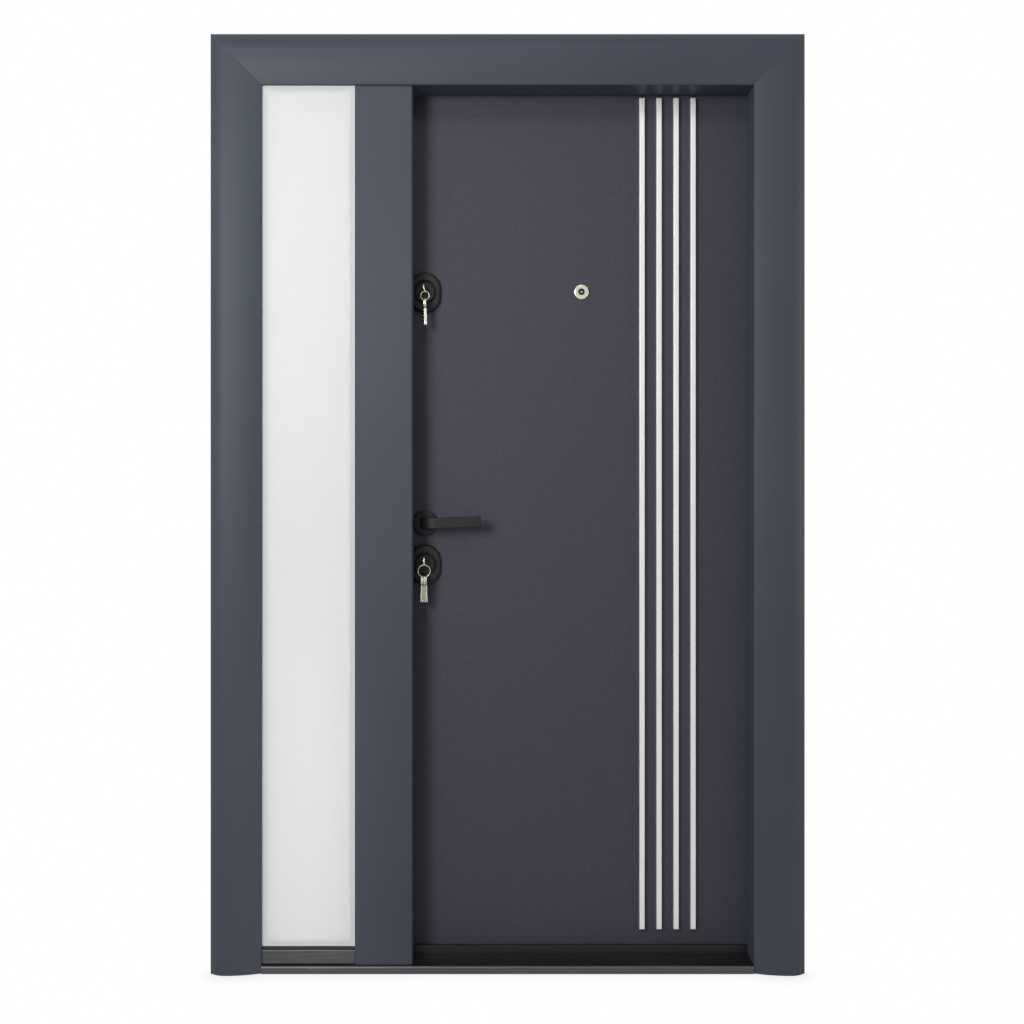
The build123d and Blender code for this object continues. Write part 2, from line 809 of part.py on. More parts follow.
with BuildPart() as lower_key:
    with BuildSketch(lower_key_plane):
        add(key_outline())
    extrude(amount=key_t / 2, both=True)

ring_y = bow_y + key_slot_x
ring_seat = key_slot_h / 2 - wire_r - ring_clearance
spare_seat = key_slot_w / 2 - wire_r - spare_clearance
upper_wire = upper_key_plane.from_local_coords((key_slot_x, -ring_seat, 0))
lower_wire = lower_key_plane.from_local_coords((key_slot_x, -ring_seat, 0))

with BuildPart() as upper_ring:
    with BuildSketch(
        Plane(origin=upper_wire, x_dir=(0, 0, 1), z_dir=(1, 0, 0))
    ):
        Circle(wire_r)
    revolve(axis=Axis(upper_wire - (0, 0, upper_ring_r), (0, 1, 0)))

with BuildPart() as lower_ring:
    with BuildSketch(
        Plane(origin=lower_wire, x_dir=(0, 0, 1), z_dir=(1, 0, 0))
    ):
        Circle(wire_r)
    revolve(axis=Axis(lower_wire - (0, 0, lower_ring_r), (0, 1, 0)))


def hanging_plane(wire, ring_r, across, lean):
    """Plane of a spare key that hangs on a ring, off its lowest point."""
    drop = ring_r + (ring_r**2 - across**2) ** 0.5
    top = wire.Z - drop - spare_seat + key_slot_x
    return Plane(
        origin=(wire.X + across, ring_y, top), x_dir=(0, 0, -1), z_dir=(1, 0, 0)
    ).rotated((0, lean, 0))


with BuildPart() as upper_spare_keys:
    for across, lean in upper_fan:
        with BuildSketch(hanging_plane(upper_wire, upper_ring_r, across, lean)):
            add(key_outline())
        extrude(amount=key_t / 2, both=True)

with BuildPart() as lower_spare_keys:
    for across, lean in lower_fan:
        with BuildSketch(hanging_plane(lower_wire, lower_ring_r, across, lean)):
            add(key_outline())
        extrude(amount=key_t / 2, both=True)

os.makedirs("parts", exist_ok=True)
left_jamb.part.label = "left_jamb"
export_step(left_jamb.part, "parts/left_jamb.step")
right_jamb.part.label = "right_jamb"
export_step(right_jamb.part, "parts/right_jamb.step")
head.part.label = "head"
export_step(head.part, "parts/head.step")
sill.part.label = "sill"
export_step(sill.part, "parts/sill.step")
mullion_cover.part.label = "mullion_cover"
export_step(mullion_cover.part, "parts/mullion_cover.step")
mullion_post.part.label = "mullion_post"
export_step(mullion_post.part, "parts/mullion_post.step")
strike_plates.part.label = "strike_plates"
export_step(strike_plates.part, "parts/strike_plates.step")
sidelight_rail.part.label = "sidelight_rail"
export_step(sidelight_rail.part, "parts/sidelight_rail.step")
outer_pane.part.label = "outer_pane"
export_step(outer_pane.part, "parts/outer_pane.step")
pane_spacer.part.label = "pane_spacer"
export_step(pane_spacer.part, "parts/pane_spacer.step")
inner_pane.part.label = "inner_pane"
export_step(inner_pane.part, "parts/inner_pane.step")
pane_seal.part.label = "pane_seal"
export_step(pane_seal.part, "parts/pane_seal.step")
foot_gasket.part.label = "foot_gasket"
export_step(foot_gasket.part, "parts/foot_gasket.step")
upright_beads.part.label = "upright_beads"
export_step(upright_beads.part, "parts/upright_beads.step")
level_beads.part.label = "level_beads"
export_step(level_beads.part, "parts/level_beads.step")
leaf_seal.part.label = "leaf_seal"
export_step(leaf_seal.part, "parts/leaf_seal.step")
frame_hinges.part.label = "frame_hinges"
export_step(frame_hinges.part, "parts/frame_hinges.step")
hinge_pins.part.label = "hinge_pins"
export_step(hinge_pins.part, "parts/hinge_pins.step")
leaf_hinges.part.label = "leaf_hinges"
export_step(leaf_hinges.part, "parts/leaf_hinges.step")
leaf_outer_skin.part.label = "leaf_outer_skin"
export_step(leaf_outer_skin.part, "parts/leaf_outer_skin.step")
leaf_core.part.label = "leaf_core"
export_step(leaf_core.part, "parts/leaf_core.step")
leaf_inner_skin.part.label = "leaf_inner_skin"
export_step(leaf_inner_skin.part, "parts/leaf_inner_skin.step")
leaf_strips.part.label = "leaf_strips"
export_step(leaf_strips.part, "parts/leaf_strips.step")
lock_faceplates.part.label = "lock_faceplates"
export_step(lock_faceplates.part, "parts/lock_faceplates.step")
lock_bolts.part.label = "lock_bolts"
export_step(lock_bolts.part, "parts/lock_bolts.step")
upper_escutcheon.part.label = "upper_escutcheon"
export_step(upper_escutcheon.part, "parts/upper_escutcheon.step")
lower_escutcheon.part.label = "lower_escutcheon"
export_step(lower_escutcheon.part, "parts/lower_escutcheon.step")
guard_discs.part.label = "guard_discs"
export_step(guard_discs.part, "parts/guard_discs.step")
lock_cylinders.part.label = "lock_cylinders"
export_step(lock_cylinders.part, "parts/lock_cylinders.step")
inner_escutcheons.part.label = "inner_escutcheons"
export_step(inner_escutcheons.part, "parts/inner_escutcheons.step")
outer_rose.part.label = "outer_rose"
export_step(outer_rose.part, "parts/outer_rose.step")
inner_rose.part.label = "inner_rose"
export_step(inner_rose.part, "parts/inner_rose.step")
outer_lever.part.label = "outer_lever"
export_step(outer_lever.part, "parts/outer_lever.step")
inner_lever.part.label = "inner_lever"
export_step(inner_lever.part, "parts/inner_lever.step")
spindle.part.label = "spindle"
export_step(spindle.part, "parts/spindle.step")
peephole_rim.part.label = "peephole_rim"
export_step(peephole_rim.part, "parts/peephole_rim.step")
peephole_eyepiece.part.label = "peephole_eyepiece"
export_step(peephole_eyepiece.part, "parts/peephole_eyepiece.step")
peephole_lenses.part.label = "peephole_lenses"
export_step(peephole_lenses.part, "parts/peephole_lenses.step")
upper_key.part.label = "upper_key"
export_step(upper_key.part, "parts/upper_key.step")
lower_key.part.label = "lower_key"
export_step(lower_key.part, "parts/lower_key.step")
upper_ring.part.label = "upper_ring"
export_step(upper_ring.part, "parts/upper_ring.step")
lower_ring.part.label = "lower_ring"
export_step(lower_ring.part, "parts/lower_ring.step")
upper_spare_keys.part.label = "upper_spare_keys"
export_step(upper_spare_keys.part, "parts/upper_spare_keys.step")
lower_spare_keys.part.label = "lower_spare_keys"
export_step(lower_spare_keys.part, "parts/lower_spare_keys.step")
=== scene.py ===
"""Looks of the steel entrance door: camera, light, finishes and small trim.

Everything is in metres, in the row frame of the part: X to the right seen from
outside, Y into the building, Z up.
"""
import json
import math

import bpy
from mathutils import Matrix, Vector


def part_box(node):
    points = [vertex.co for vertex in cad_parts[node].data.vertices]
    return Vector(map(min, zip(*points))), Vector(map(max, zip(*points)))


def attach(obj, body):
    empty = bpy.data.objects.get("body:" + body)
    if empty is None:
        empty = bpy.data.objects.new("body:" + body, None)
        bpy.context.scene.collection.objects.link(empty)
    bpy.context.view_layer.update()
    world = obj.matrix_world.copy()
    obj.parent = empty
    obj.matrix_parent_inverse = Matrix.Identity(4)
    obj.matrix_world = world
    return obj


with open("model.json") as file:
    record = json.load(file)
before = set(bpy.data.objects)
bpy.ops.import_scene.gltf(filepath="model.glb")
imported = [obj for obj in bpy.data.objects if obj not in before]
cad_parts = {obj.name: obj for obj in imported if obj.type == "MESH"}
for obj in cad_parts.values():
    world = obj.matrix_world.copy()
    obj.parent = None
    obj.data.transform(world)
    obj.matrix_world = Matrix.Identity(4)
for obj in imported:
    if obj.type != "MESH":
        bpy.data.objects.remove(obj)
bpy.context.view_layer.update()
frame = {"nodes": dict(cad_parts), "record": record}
nodes = frame["nodes"]

MM = 0.001

# Camera: level, square to the wall, a little above mid height
CAMERA_PLACE = Vector((-0.003, -2.630, 1.094))
CAMERA_LENS = 42.2
CAMERA_SENSOR = 36
CAMERA_SHIFT = (0.0056, -0.038)

# Light: a soft key lamp from the upper left, a small one from above, a weak one
# along the right edge and one that shows the inside
KEY_PLACE = Vector((-1.4, -2.4, 1.8))
KEY_SIZE = (0.9, 1.1)
KEY_POWER = 53
TOP_PLACE = Vector((0.1, -1.7, 3.1))
TOP_SIZE = (0.6, 0.4)
TOP_POWER = 6
RIM_PLACE = Vector((2.4, -0.6, 1.3))
RIM_SIZE = (0.8, 1.8)
RIM_POWER = 12
BACK_PLACE = Vector((-0.6, 2.6, 0.9))
BACK_SIZE = (1.6, 1.8)
BACK_POWER = 40
LAMP_AIM = Vector((0.0, 0.0, 1.1))
WORLD_LIGHT = 0.2

# A narrow soft lamp lifts the lower half of the pane
PANE_LAMP_Y = -2.4
PANE_LAMP_Z = 0.35
PANE_LAMP_AIM_Z = 0.03
PANE_LAMP_CONE = math.radians(48)
PANE_LAMP_NARROWING = 0.175
PANE_LAMP_RADIUS = 0.12
PANE_LAMP_POWER = 50

# Floor: a hair below the sill, with a short soft shadow round its foot
STAGE_SIZE = 14
FLOOR_DROP = 0.5 * MM
FLOOR_SHADOW_REACH = 60 * MM
FLOOR_SHADOW_LEVEL = 0.7

# Black ring of the door viewer: painted shade for the dark inside seen through
# its lens
SHADE_RING_R = 7.4 * MM
SHADE_RING_HOLE_R = 2.6 * MM
SHADE_RING_RISE = 0.6 * MM
SHADE_RING_EDGE = 0.5 * SHADE_RING_RISE

# Screw heads; the arms of the recess are shares of the radius, and its depth
# and the rounding are shares of the rise
HINGE_SCREW_R = 4.0 * MM
LOCK_SCREW_R = 3.2 * MM
SCREW_RISE = 1.0 * MM
SCREW_ROUNDING = 0.6
RECESS_LENGTH = 1.2
RECESS_WIDTH = 0.3
RECESS_DEPTH = 0.6

# Places of the screws, from the edges and ends of their plates
HINGE_PLATE_T = 4 * MM
HINGE_SCREW_EDGES = (11 * MM, 25 * MM, 11 * MM)
EDGE_PLATE_SCREW_END = 10 * MM
ESCUTCHEON_SCREW_END = 9 * MM
ROSE_SCREW_EDGE = 8 * MM
SOLID_GAP = 1 * MM
INWARDS = Vector((0, 1, 0))
TO_LOCK = Vector((-1, 0, 0))
TO_HINGE = Vector((1, 0, 0))

# Faces that meet at less than this angle are shaded as one
SMOOTH_ANGLE = math.radians(40)

# Noise rarely leaves this range, so the two tones of a finish lie at its ends
DARK_AT = 0.3
LIGHT_AT = 0.7

# Scales that draw a pattern out along the brushing; tumbling has no direction
LEVEL_BRUSHING = (0.02, 1, 1)
UPRIGHT_BRUSHING = (1, 1, 0.02)
TUMBLING = (0.4, 0.4, 0.4)

# How much the gloss of a metal changes from hairline to hairline
GLOSS_RANGE = 0.05

# Depth over which the sill goes from its front tone to a painted shade under the
# leaf
FRONT_TONE_TO_Y = 50 * MM
PAINTED_SHADE_FROM_Y = 80 * MM


def linear(hex_colour):
    """An sRGB hex colour as linear RGBA."""
    channels = [int(hex_colour[n : n + 2], 16) / 255 for n in (1, 3, 5)]
    return (
        *(
            c / 12.92 if c <= 0.04045 else ((c + 0.055) / 1.055) ** 2.4
            for c in channels
        ),
        1.0,
    )


def per_mm(size):
    """Texture scale at which one cell of a pattern is that many millimetres."""
    return 1 / (size * MM)


def add_node(tree, kind, inputs=None, tones=(), **settings):
    """Adds a node with its settings, its constants and links, and its tones."""
    node = tree.nodes.new(kind)
    for name, value in settings.items():
        setattr(node, name, value)
    for name, value in (inputs or {}).items():
        if isinstance(value, bpy.types.NodeSocket):
            tree.links.new(value, node.inputs[name])
        else:
            node.inputs[name].default_value = value
    for n, (position, tone) in enumerate(tones):
        stop = node.color_ramp.elements[n]
        stop.position = position
        stop.color = linear(tone)
    return node


def new_finish(name):
    """An empty material: its node tree and the place of every surface point."""
    finish = bpy.data.materials.new(name)
    finish.use_nodes = True
    tree = finish.node_tree
    tree.nodes.clear()
    place = add_node(tree, "ShaderNodeTexCoord").outputs["Object"]
    return finish, tree, place


def hairlines(tree, place, brushing):
    """The pattern that brushing leaves on a metal, from 0 to 1."""
    drawn_out = add_node(
        tree, "ShaderNodeMapping", {"Vector": place, "Scale": brushing}
    )
    # Real hairlines are about 0.2 mm apart; they are drawn at 1.5 mm to show
    lines = add_node(
        tree,
        "ShaderNodeTexNoise",
        {
            "Vector": drawn_out.outputs["Vector"],
            "Scale": per_mm(1.5),
            "Detail": 2.0,
        },
    )
    return lines.outputs["Fac"]


def stoved_enamel():
    """Stoved enamel on folded sheet: satin, with a trace of orange peel."""
    finish, tree, place = new_finish("stoved_enamel")
    # Passes of the spray gun leave faint clouds
    clouds = add_node(
        tree,
        "ShaderNodeTexNoise",
        {"Vector": place, "Scale": per_mm(420), "Detail": 2.0},
    )
    colour = add_node(
        tree,
        "ShaderNodeValToRGB",
        {"Fac": clouds.outputs["Fac"]},
        tones=((DARK_AT, "#3e444d"), (LIGHT_AT, "#434952")),
    )
    peel = add_node(
        tree,
        "ShaderNodeTexNoise",
        {"Vector": place, "Scale": per_mm(6), "Detail": 1.0},
    )
    relief = add_node(
        tree,
        "ShaderNodeBump",
        {
            "Height": peel.outputs["Fac"],
            "Strength": 0.06,
            "Distance": 0.4 * MM,
        },
    )
    shader = add_node(
        tree,
        "ShaderNodeBsdfPrincipled",
        {
            "Base Color": colour.outputs["Color"],
            "Roughness": 0.5,
            "Specular IOR Level": 0.25,
            "Normal": relief.outputs["Normal"],
        },
    )
    add_node(
        tree, "ShaderNodeOutputMaterial", {"Surface": shader.outputs["BSDF"]}
    )
    return finish


def textured_powder_coat():
    """Fine-textured powder coat: matt, with a sandy grain."""
    finish, tree, place = new_finish("textured_powder_coat")
    # The grain is about 1 mm; it is drawn at 5 mm so that it shows
    grain = add_node(
        tree,
        "ShaderNodeTexNoise",
        {"Vector": place, "Scale": per_mm(5), "Detail": 3.0, "Roughness": 0.6},
    )
    colour = add_node(
        tree,
        "ShaderNodeValToRGB",
        {"Fac": grain.outputs["Fac"]},
        tones=((DARK_AT, "#383942"), (LIGHT_AT, "#41424c")),
    )
    relief = add_node(
        tree,
        "ShaderNodeBump",
        {
            "Height": grain.outputs["Fac"],
            "Strength": 0.25,
            "Distance": 0.5 * MM,
        },
    )
    shader = add_node(
        tree,
        "ShaderNodeBsdfPrincipled",
        {
            "Base Color": colour.outputs["Color"],
            "Roughness": 0.6,
            "Specular IOR Level": 0.3,
            "Normal": relief.outputs["Normal"],
        },
    )
    add_node(
        tree, "ShaderNodeOutputMaterial", {"Surface": shader.outputs["BSDF"]}
    )
    return finish


def brushed_metal(
    name, dark, light, roughness, brushing, metallic=1.0, edge=0.5
):
    """Worked metal: hairlines that change tone and gloss, and eased edges."""
    finish, tree, place = new_finish(name)
    lines = hairlines(tree, place, brushing)
    colour = add_node(
        tree,
        "ShaderNodeValToRGB",
        {"Fac": lines},
        tones=((DARK_AT, dark), (LIGHT_AT, light)),
    )
    gloss = add_node(
        tree,
        "ShaderNodeMapRange",
        {
            "Value": lines,
            "To Min": roughness - GLOSS_RANGE,
            "To Max": roughness + GLOSS_RANGE,
        },
    )
    rounding = add_node(
        tree, "ShaderNodeBevel", {"Radius": edge * MM}, samples=6
    )
    shader = add_node(
        tree,
        "ShaderNodeBsdfPrincipled",
        {
            "Base Color": colour.outputs["Color"],
            "Metallic": metallic,
            "Roughness": gloss.outputs["Result"],
            "Normal": rounding.outputs["Normal"],
        },
    )
    add_node(
        tree, "ShaderNodeOutputMaterial", {"Surface": shader.outputs["BSDF"]}
    )
    return finish


def sill_steel_painted_shade():
    """Dark brushed steel: lighter at the front edge, darker further in under the
    leaf, where the darker tone is painted shade.
    """
    finish, tree, place = new_finish("sill_steel_painted_shade")
    lines = hairlines(tree, place, LEVEL_BRUSHING)
    axes = add_node(tree, "ShaderNodeSeparateXYZ", {"Vector": place})
    depth = add_node(
        tree,
        "ShaderNodeMapRange",
        {
            "Value": axes.outputs["Y"],
            "From Min": FRONT_TONE_TO_Y,
            "From Max": PAINTED_SHADE_FROM_Y,
        },
    )
    # The lighter tone at the front edge of the tread
    front_tones = add_node(
        tree,
        "ShaderNodeValToRGB",
        {"Fac": lines},
        tones=((DARK_AT, "#464648"), (LIGHT_AT, "#555557")),
    )
    # A darker tone further in: painted shade under the leaf
    painted_shade_tones = add_node(
        tree,
        "ShaderNodeValToRGB",
        {"Fac": lines},
        tones=((0.0, "#38383a"), (1.0, "#424244")),
    )
    colour = add_node(
        tree,
        "ShaderNodeMixRGB",
        {
            "Fac": depth.outputs["Result"],
            "Color1": front_tones.outputs["Color"],
            "Color2": painted_shade_tones.outputs["Color"],
        },
    )
    shader = add_node(
        tree,
        "ShaderNodeBsdfPrincipled",
        {
            "Base Color": colour.outputs["Color"],
            "Metallic": 1.0,
            "Roughness": 0.4,
        },
    )
    add_node(
        tree, "ShaderNodeOutputMaterial", {"Surface": shader.outputs["BSDF"]}
    )
    return finish


def frosted_glass():
    """Sandblasted float glass: lets light through and hides all shapes."""
    finish, tree, place = new_finish("frosted_glass")
    # The pits are about 0.1 mm; they are drawn as clouds of 30 mm so that
    # they show
    frost = add_node(
        tree,
        "ShaderNodeTexNoise",
        {"Vector": place, "Scale": per_mm(30), "Detail": 3.0},
    )
    colour = add_node(
        tree,
        "ShaderNodeValToRGB",
        {"Fac": frost.outputs["Fac"]},
        tones=((0.0, "#f7f9f8"), (1.0, "#fcfdfc")),
    )
    shader = add_node(
        tree,
        "ShaderNodeBsdfPrincipled",
        {
            "Base Color": colour.outputs["Color"],
            "Roughness": 0.6,
            "IOR": 1.5,
            "Transmission Weight": 0.35,
        },
    )
    add_node(
        tree, "ShaderNodeOutputMaterial", {"Surface": shader.outputs["BSDF"]}
    )
    return finish


def clear_lens():
    """Ground clear glass of the door viewer: smooth, with sharp reflections."""
    finish, tree, place = new_finish("clear_lens")
    tint = add_node(
        tree, "ShaderNodeTexNoise", {"Vector": place, "Scale": per_mm(4)}
    )
    colour = add_node(
        tree,
        "ShaderNodeValToRGB",
        {"Fac": tint.outputs["Fac"]},
        tones=((0.0, "#dfe4e6"), (1.0, "#eef2f2")),
    )
    shader = add_node(
        tree,
        "ShaderNodeBsdfPrincipled",
        {
            "Base Color": colour.outputs["Color"],
            "Roughness": 0.05,
            "IOR": 1.52,
            "Transmission Weight": 0.6,
        },
    )
    add_node(
        tree, "ShaderNodeOutputMaterial", {"Surface": shader.outputs["BSDF"]}
    )
    return finish


def matt_solid(name, dark, light, cell, roughness, gloss=0.5, edge=0.5):
    """A coloured solid, a little uneven in tone over cells of that many mm."""
    finish, tree, place = new_finish(name)
    # The real grain is under 1 mm; the cells are larger so that it shows
    tone = add_node(
        tree,
        "ShaderNodeTexNoise",
        {"Vector": place, "Scale": per_mm(cell), "Detail": 2.0},
    )
    colour = add_node(
        tree,
        "ShaderNodeValToRGB",
        {"Fac": tone.outputs["Fac"]},
        tones=((DARK_AT, dark), (LIGHT_AT, light)),
    )
    rounding = add_node(
        tree, "ShaderNodeBevel", {"Radius": edge * MM}, samples=6
    )
    shader = add_node(
        tree,
        "ShaderNodeBsdfPrincipled",
        {
            "Base Color": colour.outputs["Color"],
            "Roughness": roughness,
            "Specular IOR Level": gloss,
            "Normal": rounding.outputs["Normal"],
        },
    )
    add_node(
        tree, "ShaderNodeOutputMaterial", {"Surface": shader.outputs["BSDF"]}
    )
    return finish


def make_finishes():
    """Every finish of the door, by its slot in the record."""
    return {
        "frame_paint": stoved_enamel(),
        "leaf_paint": textured_powder_coat(),
        # Darker further in under the leaf: painted shade
        "sill_steel": sill_steel_painted_shade(),
        # Rolled and brushed level: a soft grey shine
        "stainless": brushed_metal(
            "brushed_stainless",
            dark="#8d8d8f",
            light="#a3a3a4",
            roughness=0.38,
            brushing=LEVEL_BRUSHING,
        ),
        # Drawn, brushed upright and anodised: pale, half veiled by the oxide
        "strip_aluminium": brushed_metal(
            "anodised_aluminium",
            dark="#dedede",
            light="#ebebeb",
            roughness=0.42,
            brushing=UPRIGHT_BRUSHING,
            metallic=0.5,
        ),
        "frosted_glass": frosted_glass(),
        # Moulded: near white, with a dull shine
        "pale_silicone": matt_solid(
            "pale_silicone", "#eef0f0", "#f6f7f7", cell=20, roughness=0.5
        ),
        # Extruded: deep grey and quite matt
        "black_rubber": matt_solid(
            "epdm_rubber", "#161617", "#1d1d1f", cell=8, roughness=0.75
        ),
        # Pressed mineral fibre: sandy and without any shine
        "core_board": matt_solid(
            "mineral_board", "#b9b09a", "#c9c1ac", cell=6, roughness=0.9
        ),
        # Sprayed on castings: near black, with broad highlights on soft edges
        "black_hardware": matt_solid(
            "black_powder_coat",
            "#0e0e10",
            "#141416",
            cell=3,
            roughness=0.48,
            gloss=0.27,
            edge=4,
        ),
        # Tumbled and plated: warm white, bright on worn edges
        "nickel": brushed_metal(
            "nickel_plate",
            dark="#bab6a4",
            light="#d6d2c1",
            roughness=0.24,
            brushing=TUMBLING,
            edge=1.5,
        ),
        "lens": clear_lens(),
    }


def paint_nodes(finishes):
    """Gives every CAD node the finish of its slot in the record."""
    for subpart in frame["record"]["subparts"]:
        node = nodes[subpart["node"]]
        for slot in node.material_slots:
            slot.material = finishes[subpart["material_slot"]]


def spans(node):
    """Where each of a node's solids begins and ends in height."""
    mesh = nodes[node].data
    faces = []
    for face in mesh.polygons:
        heights = [mesh.vertices[n].co.z for n in face.vertices]
        faces.append((min(heights), max(heights)))
    faces.sort()
    solids = [faces[0]]
    for start, end in faces[1:]:
        first, last = solids[-1]
        if start > last + SOLID_GAP:
            solids.append((start, end))
        else:
            solids[-1] = (first, max(last, end))
    return solids


def cross_screw(radius, steel):
    """A raised screw head with a cross recess, facing up.

    The origin is on the plate's face, and half of the head is sunk below it.
    """
    bpy.ops.object.select_all(action="DESELECT")
    bpy.ops.mesh.primitive_cylinder_add(
        vertices=24, radius=radius, depth=2 * SCREW_RISE
    )
    head = bpy.context.object
    for edge in head.data.edges:
        ends = [head.data.vertices[n].co.z for n in edge.vertices]
        edge.select = min(ends) > 0
    for face in head.data.polygons:
        face.select = False
    bpy.ops.object.mode_set(mode="EDIT")
    bpy.ops.mesh.select_mode(type="EDGE")
    bpy.ops.mesh.bevel(offset=SCREW_ROUNDING * SCREW_RISE, segments=3)
    bpy.ops.object.mode_set(mode="OBJECT")
    length = RECESS_LENGTH * radius
    width = RECESS_WIDTH * radius
    for arm in ((length, width), (width, length)):
        bpy.ops.mesh.primitive_cube_add(
            size=1,
            location=(0, 0, SCREW_RISE),
            scale=(*arm, 2 * RECESS_DEPTH * SCREW_RISE),
        )
        cutter = bpy.context.object
        bpy.context.view_layer.objects.active = head
        recess = head.modifiers.new("recess", "BOOLEAN")
        recess.object = cutter
        bpy.ops.object.modifier_apply(modifier="recess")
        bpy.data.objects.remove(cutter)
    head.data.materials.append(steel)
    return head


def drive_screws(name, head, body, facing, places):
    """Copies of a screw head on one face of a body, as one piece."""
    turn = Vector((0, 0, 1)).rotation_difference(facing).to_matrix().to_4x4()
    bpy.ops.object.select_all(action="DESELECT")
    for place in places:
        screw = bpy.data.objects.new(name, head.data.copy())
        bpy.context.collection.objects.link(screw)
        screw.data.transform(Matrix.Translation(place) @ turn)
        screw.select_set(True)
        bpy.context.view_layer.objects.active = screw
    bpy.ops.object.join()
    screws = bpy.context.object
    screws.name = name
    bpy.ops.object.shade_smooth_by_angle(angle=SMOOTH_ANGLE)
    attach(screws, body)


def fit_hinge_screws(head):
    """Three screws in the plate of each hinge half, the middle one set in."""
    # Side says which edge the screws are set in from: 1 right, -1 left
    for node, body, side, carrier in (
        ("frame_hinges", "frame", 1, "right_jamb"),
        ("leaf_hinges", "leaf", -1, "leaf_inner_skin"),
    ):
        low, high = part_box(node)
        plate_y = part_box(carrier)[1].y + HINGE_PLATE_T
        outer = high.x if side > 0 else low.x
        places = []
        for start, end in spans(node):
            for n, edge in enumerate(HINGE_SCREW_EDGES, 1):
                z = start + (end - start) * n / (len(HINGE_SCREW_EDGES) + 1)
                places.append(Vector((outer - side * edge, plate_y, z)))
        drive_screws(f"{node}_screws", head, body, INWARDS, places)


def fit_edge_plate_screws(head):
    """A screw at each end of the lock faceplates and the strike plates."""
    for node, body, facing in (
        ("lock_faceplates", "leaf", TO_LOCK),
        ("strike_plates", "frame", TO_HINGE),
    ):
        low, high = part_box(node)
        x = low.x if facing.x < 0 else high.x
        y = (low.y + high.y) / 2
        places = []
        for start, end in spans(node):
            places.append(Vector((x, y, start + EDGE_PLATE_SCREW_END)))
            places.append(Vector((x, y, end - EDGE_PLATE_SCREW_END)))
        drive_screws(f"{node}_screws", head, body, facing, places)


def fit_inside_screws(head):
    """Two screws in each escutcheon and in the rose on the inside."""
    low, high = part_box("inner_escutcheons")
    x = (low.x + high.x) / 2
    places = []
    for start, end in spans("inner_escutcheons"):
        places.append(Vector((x, high.y, start + ESCUTCHEON_SCREW_END)))
        places.append(Vector((x, high.y, end - ESCUTCHEON_SCREW_END)))
    drive_screws("inner_escutcheon_screws", head, "leaf", INWARDS, places)
    low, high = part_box("inner_rose")
    z = (low.z + high.z) / 2
    places = [
        Vector((low.x + ROSE_SCREW_EDGE, high.y, z)),
        Vector((high.x - ROSE_SCREW_EDGE, high.y, z)),
    ]
    drive_screws("inner_rose_screws", head, "leaf", INWARDS, places)


def fit_screws(steel):
    """Screws of the hinges, the lock edges and the inside fittings."""
    hinge_head = cross_screw(HINGE_SCREW_R, steel)
    lock_head = cross_screw(LOCK_SCREW_R, steel)
    fit_hinge_screws(hinge_head)
    fit_edge_plate_screws(lock_head)
    fit_inside_screws(lock_head)
    bpy.data.objects.remove(hinge_head)
    bpy.data.objects.remove(lock_head)


def fit_viewer_shade_ring(black):
    """A thin black ring round the middle of the door viewer's front lens, as
    painted shade for the dark inside seen through the lens.

    Half of its depth lies behind the front of the viewer's rim.
    """
    low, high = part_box("peephole_rim")
    middle = (low + high) / 2
    place = Vector((middle.x, low.y, middle.z))
    facing = (math.radians(90), 0, 0)
    bpy.ops.object.select_all(action="DESELECT")
    bpy.ops.mesh.primitive_cylinder_add(
        vertices=48,
        radius=SHADE_RING_R,
        depth=2 * SHADE_RING_RISE,
        location=place,
        rotation=facing,
    )
    ring = bpy.context.object
    ring.name = "viewer_shade_ring"
    bpy.ops.object.transform_apply()
    bpy.ops.mesh.primitive_cylinder_add(
        vertices=32,
        radius=SHADE_RING_HOLE_R,
        depth=6 * SHADE_RING_RISE,
        location=place,
        rotation=facing,
    )
    cutter = bpy.context.object
    bpy.context.view_layer.objects.active = ring
    hole = ring.modifiers.new("hole", "BOOLEAN")
    hole.object = cutter
    bpy.ops.object.modifier_apply(modifier="hole")
    bpy.data.objects.remove(cutter)
    edge = ring.modifiers.new("edge", "BEVEL")
    edge.width = SHADE_RING_EDGE
    edge.segments = 3
    bpy.ops.object.modifier_apply(modifier="edge")
    ring.select_set(True)
    # Its black is painted shade for the viewer's dark inside
    ring.data.materials.append(black)
    bpy.ops.object.shade_smooth_by_angle(angle=SMOOTH_ANGLE)
    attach(ring, "leaf")


def add_lamp(name, kind, place, aim, power):
    """A lamp at a place, turned towards the point that it lights."""
    turn = (aim - place).to_track_quat("-Z", "Y").to_euler()
    bpy.ops.object.light_add(type=kind, location=place, rotation=turn)
    lamp = bpy.context.object
    lamp.name = name
    lamp.data.energy = power
    return lamp


def set_lamp(name, place, size, power):
    """A rectangular soft lamp that faces the middle of the door."""
    lamp = add_lamp(name, "AREA", place, LAMP_AIM, power)
    lamp.data.shape = "RECTANGLE"
    lamp.data.size, lamp.data.size_y = size


def set_pane_lamp():
    """An upright, narrow pool of soft light on the foot of the pane."""
    low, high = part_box("outer_pane")
    x = (low.x + high.x) / 2
    place = Vector((x, PANE_LAMP_Y, PANE_LAMP_Z))
    aim = Vector((x, low.y, PANE_LAMP_AIM_Z))
    lamp = add_lamp("pane_lamp", "SPOT", place, aim, PANE_LAMP_POWER)
    lamp.scale.x = PANE_LAMP_NARROWING
    lamp.data.spot_size = PANE_LAMP_CONE
    lamp.data.spot_blend = 1.0
    lamp.data.shadow_soft_size = PANE_LAMP_RADIUS


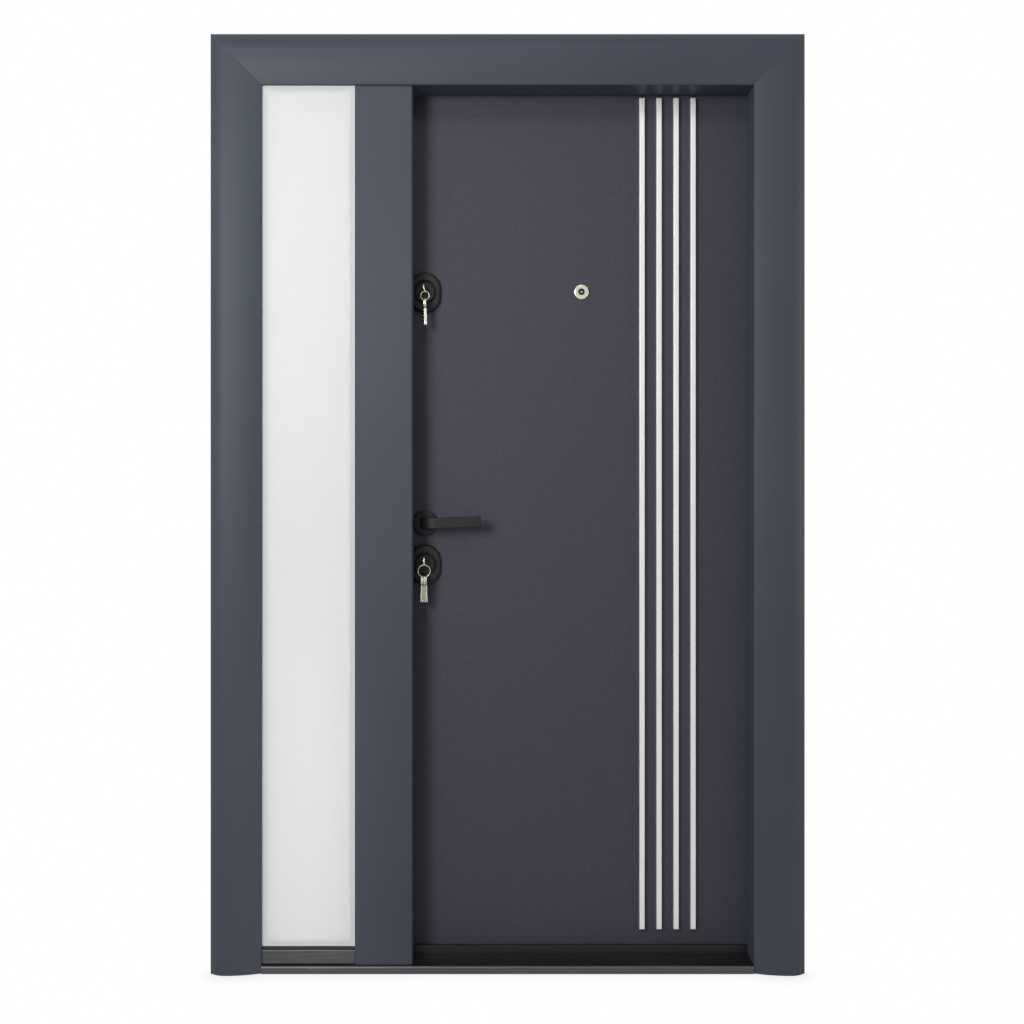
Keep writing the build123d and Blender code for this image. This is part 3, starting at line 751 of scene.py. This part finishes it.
def white_where_seen(tree, light):
    """1 for a ray that shows the stage itself, and light for one that lights."""
    ray = add_node(tree, "ShaderNodeLightPath")
    seen = add_node(
        tree,
        "ShaderNodeMath",
        {0: ray.outputs["Is Camera Ray"], 1: ray.outputs["Is Glossy Ray"]},
        operation="MAXIMUM",
    )
    seen = add_node(
        tree,
        "ShaderNodeMath",
        {0: seen.outputs["Value"], 1: ray.outputs["Is Transmission Ray"]},
        operation="MAXIMUM",
    )
    return add_node(
        tree,
        "ShaderNodeMapRange",
        {"Value": seen.outputs["Value"], "To Min": light, "To Max": 1.0},
    ).outputs["Result"]


def light_world():
    """White where it is seen, plain soft light otherwise."""
    world = bpy.data.worlds.new("white_studio")
    bpy.context.scene.world = world
    world.use_nodes = True
    tree = world.node_tree
    tree.nodes.clear()
    glow = add_node(
        tree,
        "ShaderNodeBackground",
        {
            "Color": linear("#ffffff"),
            "Strength": white_where_seen(tree, WORLD_LIGHT),
        },
    )
    add_node(
        tree, "ShaderNodeOutputWorld", {"Surface": glow.outputs["Background"]}
    )


def lay_floor():
    """A pale floor that is white to the camera and keeps a soft shadow."""
    bpy.ops.mesh.primitive_plane_add(
        size=STAGE_SIZE, location=(0, 0, -FLOOR_DROP)
    )
    floor = bpy.context.object
    floor.name = "studio_floor"
    finish, tree, _ = new_finish("white_floor")
    matt = add_node(tree, "ShaderNodeBsdfDiffuse", {"Color": linear("#b4b4b4")})
    contact = add_node(
        tree,
        "ShaderNodeAmbientOcclusion",
        {"Distance": FLOOR_SHADOW_REACH},
        samples=8,
    )
    shadow = add_node(
        tree,
        "ShaderNodeMapRange",
        {
            "Value": contact.outputs["AO"],
            "To Min": FLOOR_SHADOW_LEVEL,
            "To Max": 1.0,
        },
    )
    glow = add_node(
        tree, "ShaderNodeEmission", {"Strength": shadow.outputs["Result"]}
    )
    mixed = add_node(
        tree,
        "ShaderNodeMixShader",
        {
            0: white_where_seen(tree, 0.0),
            1: matt.outputs["BSDF"],
            2: glow.outputs["Emission"],
        },
    )
    add_node(
        tree, "ShaderNodeOutputMaterial", {"Surface": mixed.outputs["Shader"]}
    )
    floor.data.materials.append(finish)


def set_camera():
    """A level camera that looks straight at the wall."""
    bpy.ops.object.camera_add(
        location=CAMERA_PLACE, rotation=(math.radians(90), 0, 0)
    )
    camera = bpy.context.object
    camera.data.lens = CAMERA_LENS
    camera.data.sensor_width = CAMERA_SENSOR
    camera.data.shift_x, camera.data.shift_y = CAMERA_SHIFT
    bpy.context.scene.camera = camera


bpy.ops.object.select_all(action="DESELECT")
finishes = make_finishes()
paint_nodes(finishes)
fit_screws(finishes["stainless"])
fit_viewer_shade_ring(finishes["black_hardware"])
light_world()
lay_floor()
set_lamp("key_lamp", KEY_PLACE, KEY_SIZE, KEY_POWER)
set_lamp("top_lamp", TOP_PLACE, TOP_SIZE, TOP_POWER)
set_lamp("rim_lamp", RIM_PLACE, RIM_SIZE, RIM_POWER)
set_lamp("back_lamp", BACK_PLACE, BACK_SIZE, BACK_POWER)
set_pane_lamp()
set_camera()
bpy.context.scene.view_settings.view_transform = "Standard"
